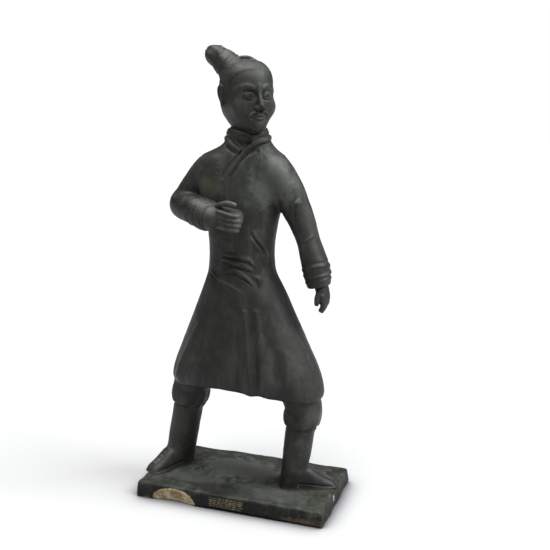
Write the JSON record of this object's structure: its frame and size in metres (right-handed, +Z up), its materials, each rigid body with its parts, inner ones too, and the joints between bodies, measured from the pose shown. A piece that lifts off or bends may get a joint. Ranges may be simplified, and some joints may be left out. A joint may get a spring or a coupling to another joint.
{
  "type": "terracotta warrior statue",
  "caption": "Standing fired-clay warrior in a crossed, belted robe on a rectangular plinth, for display on a shelf or floor.",
  "frame": {"origin": "middle of the underside of the plinth", "axes": "+Z up through the warrior, -Y out of the plinth's front, +X to the warrior's left"},
  "size_m": [0.216, 0.1094, 0.4787],
  "materials": {
    "fired_clay": "dark grey-green fired clay with a satin, rubbed patina and dust in the recesses",
    "plinth_clay": "dark grey-green fired clay, satin, scuffed along the edges"
  },
  "bodies": {
    "root": {"figure": "fired_clay", "plinth": "plinth_clay"}
  },
  "joints": []
}
